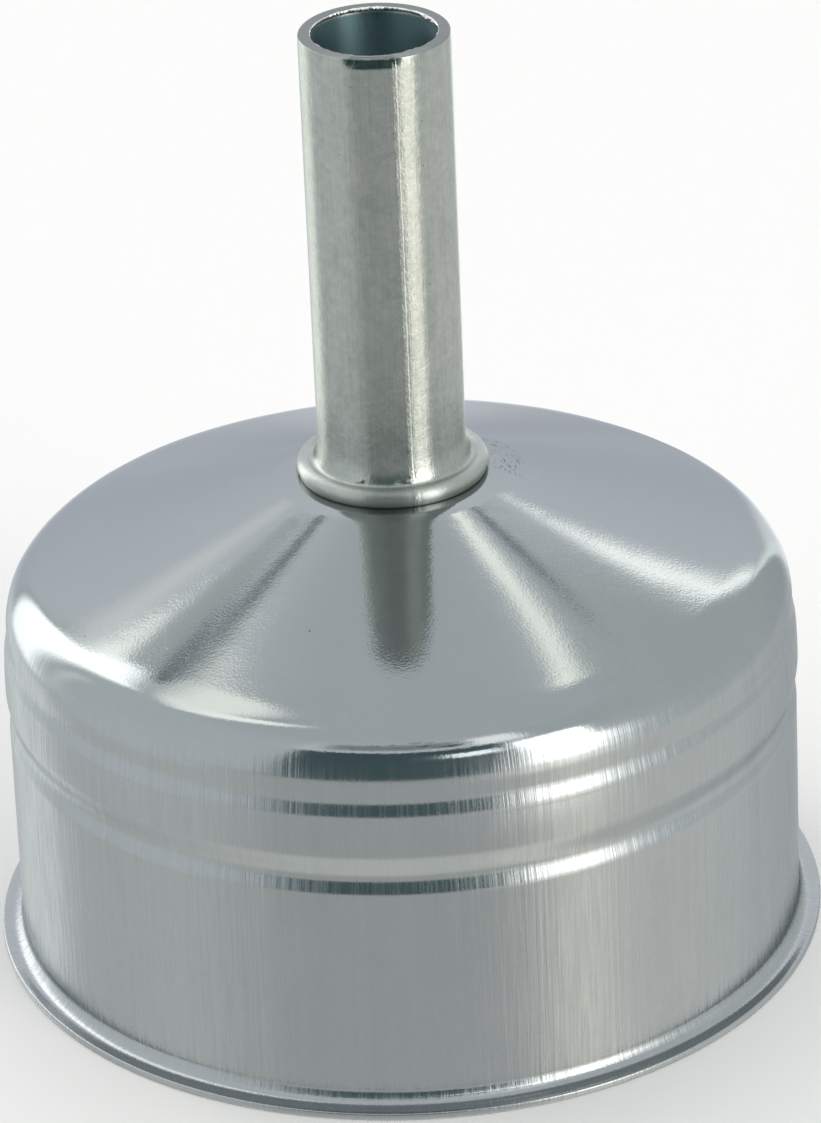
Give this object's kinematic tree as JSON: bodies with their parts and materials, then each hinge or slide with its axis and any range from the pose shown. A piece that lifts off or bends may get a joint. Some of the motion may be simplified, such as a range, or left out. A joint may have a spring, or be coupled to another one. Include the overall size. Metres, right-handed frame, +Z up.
{
  "type": "stovetop coffee pot funnel",
  "caption": "Stainless funnel basket of a stovetop coffee pot: a beaded drawn cup with a conical top, a swaged stem tube and a perforated disc inside.",
  "frame": {"origin": "centre of the rim's underside, on the surface that the funnel stands on", "axes": "+Z up along the stem's axis, towards the stem's open end; the shape is turned, so X and Y are any two directions across it"},
  "size_m": [0.069, 0.069, 0.078],
  "materials": {
    "cup_steel": "drawn stainless steel: polished cone and shoulder, vertical drawing lines on the wall",
    "tube_steel": "satin stainless tube with fine lengthwise lines and handling marks",
    "disc_steel": "satin perforated stainless sheet"
  },
  "bodies": {
    "root": {"funnel_cup": "cup_steel", "stem_tube": "tube_steel", "filter_disc": "disc_steel"}
  },
  "joints": []
}
